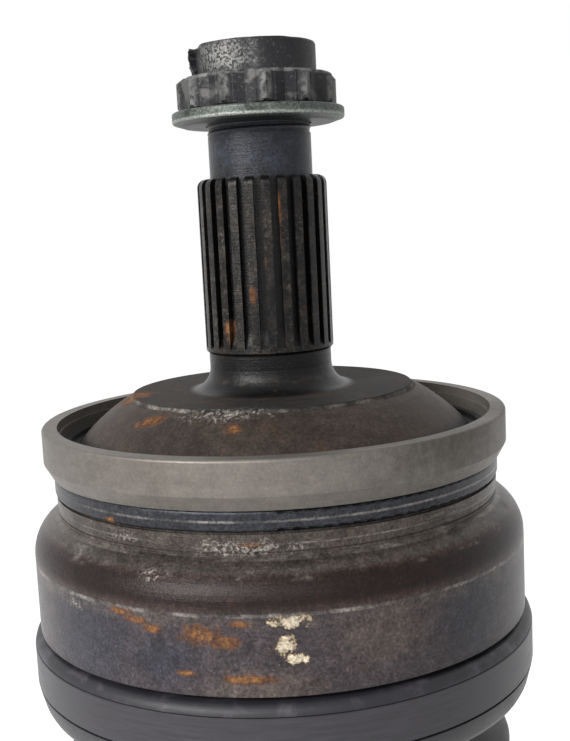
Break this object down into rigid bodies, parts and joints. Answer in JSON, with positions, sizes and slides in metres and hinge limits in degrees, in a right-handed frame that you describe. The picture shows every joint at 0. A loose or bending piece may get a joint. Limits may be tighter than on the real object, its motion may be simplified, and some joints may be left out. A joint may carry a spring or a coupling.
{
  "type": "half shaft",
  "caption": "Vehicle half shaft: splined hub stem and ball joint, boots and bar, and a plunging tripod joint with a splined stub.",
  "frame": {"origin": "where the shaft's axis crosses the flat boss that the wheel hub is pulled against", "axes": "+Z along the hub stem, away from the vehicle; the two pivot balls of the outer joint lie on Y"},
  "size_m": [0.1108, 0.1131, 0.5914],
  "materials": {
    "forged_steel": "forged and turned steel, oiled, with patches of rust",
    "nut_steel": "phosphated steel, worn bright on its corners",
    "washer_steel": "grey zinc with dull wear",
    "ring_steel": "bare turned steel, lightly tarnished",
    "bearing_steel": "ground and hardened, greased",
    "bar_paint": "thin black paint, chipped",
    "boot_rubber": "matt thermoplastic elastomer, dusty",
    "clamp_steel": "stainless band",
    "spring_steel": "oiled spring wire"
  },
  "bodies": {
    "outer_housing": {"outer_joint_housing": "forged_steel", "hub_nut": "nut_steel", "hub_washer": "washer_steel", "dust_ring": "ring_steel", "outer_boot": "boot_rubber", "outer_large_clamp": "clamp_steel"},
    "back_ball": {"pivot_ball_back": "bearing_steel"},
    "cage": {"cage": "bearing_steel", "cage_balls": "bearing_steel"},
    "front_ball": {"pivot_ball_front": "bearing_steel"},
    "bar": {"shaft_bar": "bar_paint", "inner_race": "bearing_steel", "race_snap_ring": "spring_steel", "spider_upper_snap_ring": "spring_steel", "spider_lower_snap_ring": "spring_steel", "tripod_spider": "bearing_steel", "roller_clip_a": "spring_steel", "roller_clip_b": "spring_steel", "roller_clip_c": "spring_steel", "needles_a": "bearing_steel", "needles_b": "bearing_steel", "needles_c": "bearing_steel", "outer_small_clamp": "clamp_steel", "inner_small_clamp": "clamp_steel"},
    "roller_a": {"roller_a": "bearing_steel"},
    "roller_b": {"roller_b": "bearing_steel"},
    "roller_c": {"roller_c": "bearing_steel"},
    "thrust_cup": {"thrust_cup": "bearing_steel"},
    "inner_housing": {"inner_joint_housing": "forged_steel", "roller_stop_ring": "spring_steel", "stub_dust_shield": "ring_steel", "stub_snap_ring": "spring_steel", "inner_boot": "boot_rubber", "inner_large_clamp": "clamp_steel", "preload_spring": "spring_steel"}
  },
  "joints": [
    {"name": "outer_bend_x", "type": "hinge", "parent": "outer_housing", "child": "back_ball", "pos_m": [0, 0, -0.044], "axis": [1, 0, 0], "range_deg": [-7, 7], "deforming": ["outer_boot"]},
    {"name": "outer_bend_y", "type": "hinge", "parent": "back_ball", "child": "cage", "pos_m": [0, 0, -0.044], "axis": [0, 1, 0], "range_deg": [-18, 18]},
    {"name": "race_bend_y", "type": "hinge", "parent": "cage", "child": "front_ball", "pos_m": [0, 0, -0.044], "axis": [0, 1, 0], "range_deg": [-21, 21]},
    {"name": "race_bend_x", "type": "hinge", "parent": "front_ball", "child": "bar", "pos_m": [0, 0, -0.044], "axis": [1, 0, 0], "range_deg": [-7.9, 7.9]},
    {"name": "inner_bend_y", "type": "hinge", "parent": "bar", "child": "roller_a", "pos_m": [0, 0, -0.344], "axis": [0, 1, 0], "range_deg": [-12, 12], "deforming": ["inner_boot"]},
    {"name": "inner_bend_x", "type": "hinge", "parent": "roller_a", "child": "thrust_cup", "pos_m": [0, 0, -0.344], "axis": [1, 0, 0], "range_deg": [-12, 12]},
    {"name": "inner_plunge", "type": "slide", "parent": "thrust_cup", "child": "inner_housing", "axis": [0, 0, 1], "range_m": [0, 0.03], "deforming": ["preload_spring"]},
    {"name": "roller_b_turn", "type": "hinge", "parent": "bar", "child": "roller_b", "pos_m": [-0.02252, -0.013, -0.344], "axis": [-0.866, -0.5, 0], "range_deg": [-1, 102]},
    {"name": "roller_c_turn", "type": "hinge", "parent": "bar", "child": "roller_c", "pos_m": [0.02252, -0.013, -0.344], "axis": [0.866, -0.5, 0], "range_deg": [-1, 102]}
  ],
  "couplings": [
    {"joint": "race_bend_y", "follows": "outer_bend_y", "ratio": 1},
    {"joint": "race_bend_x", "follows": "outer_bend_x", "ratio": 1},
    {"joint": "roller_b_turn", "follows": "inner_plunge", "rad_per_m": 58.8},
    {"joint": "roller_c_turn", "follows": "inner_plunge", "rad_per_m": 58.8}
  ]
}
